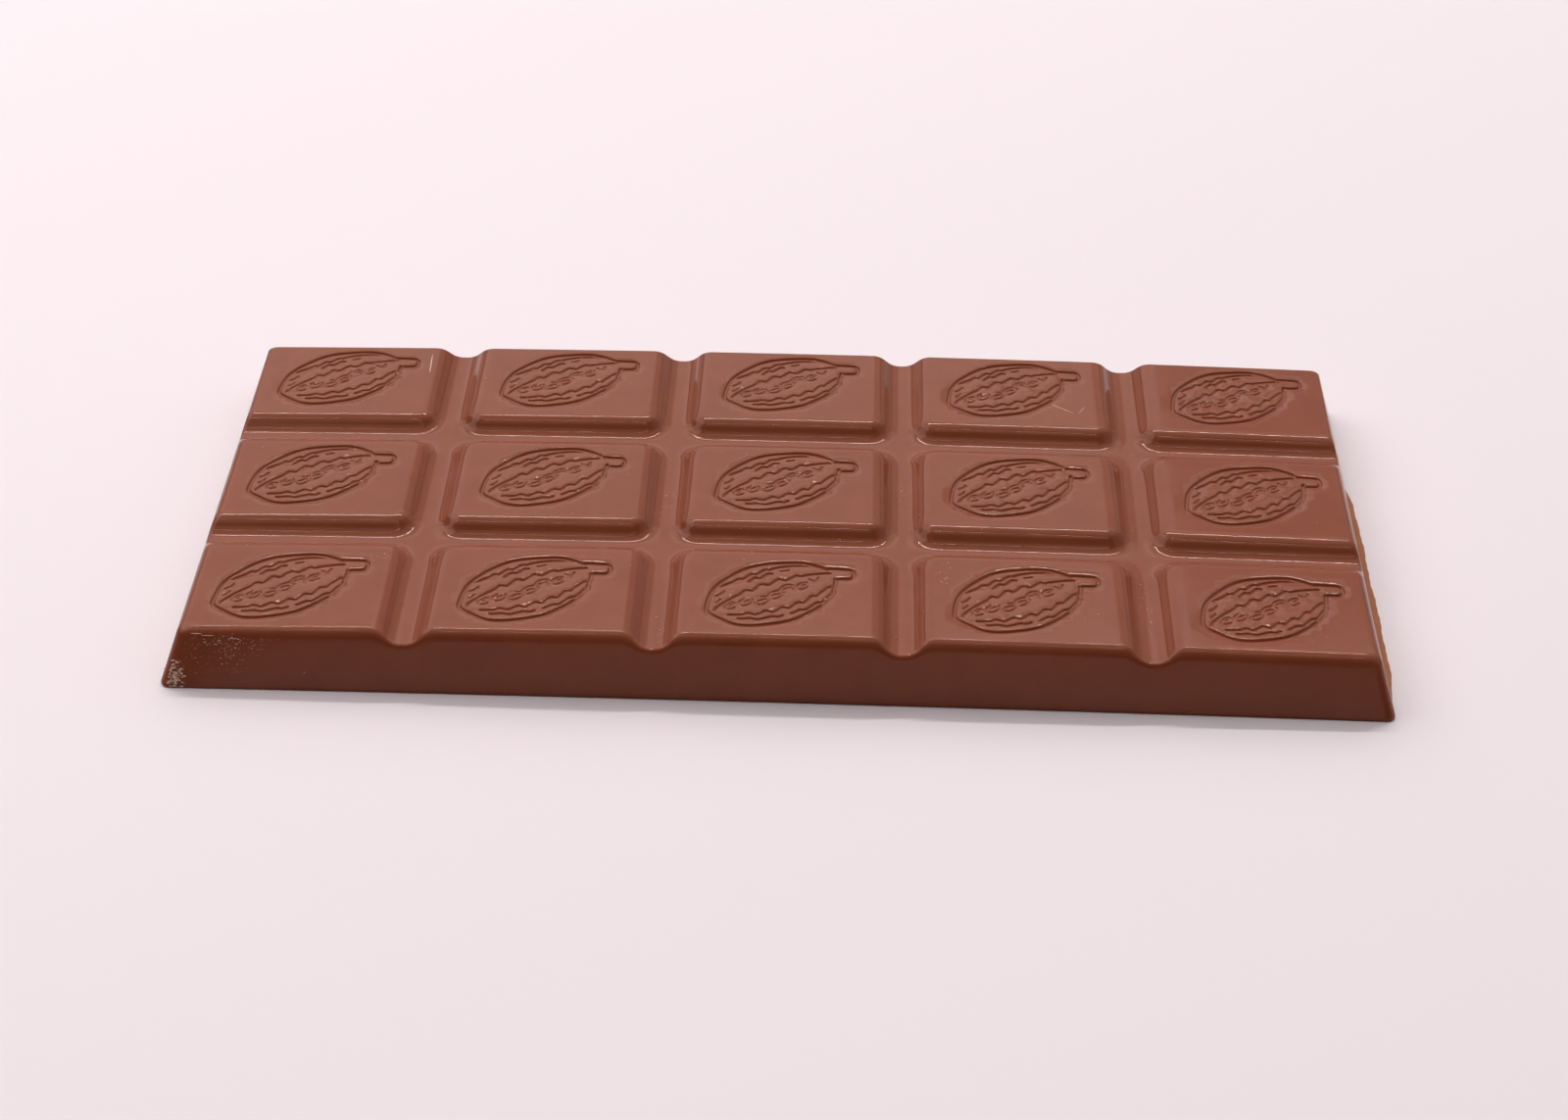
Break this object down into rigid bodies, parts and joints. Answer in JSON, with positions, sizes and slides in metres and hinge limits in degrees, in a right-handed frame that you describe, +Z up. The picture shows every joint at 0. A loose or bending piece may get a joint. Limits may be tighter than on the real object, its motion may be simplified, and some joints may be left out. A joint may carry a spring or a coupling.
{
  "type": "chocolate bar",
  "caption": "Moulded milk chocolate bar of rounded tiles parted by break grooves, each tile with a sunk cocoa pod figure, lying flat.",
  "frame": {"origin": "on the base plane, midway between the bar's long sides and midway between its two ends without the thin lip", "axes": "+X along the bar's length, +Y towards its back long side, +Z up out of the tiles"},
  "size_m": [0.1549, 0.0724, 0.0085],
  "materials": {
    "milk_chocolate": "satin moulded milk chocolate"
  },
  "bodies": {
    "root": {"chocolate_bar": "milk_chocolate"}
  },
  "joints": []
}
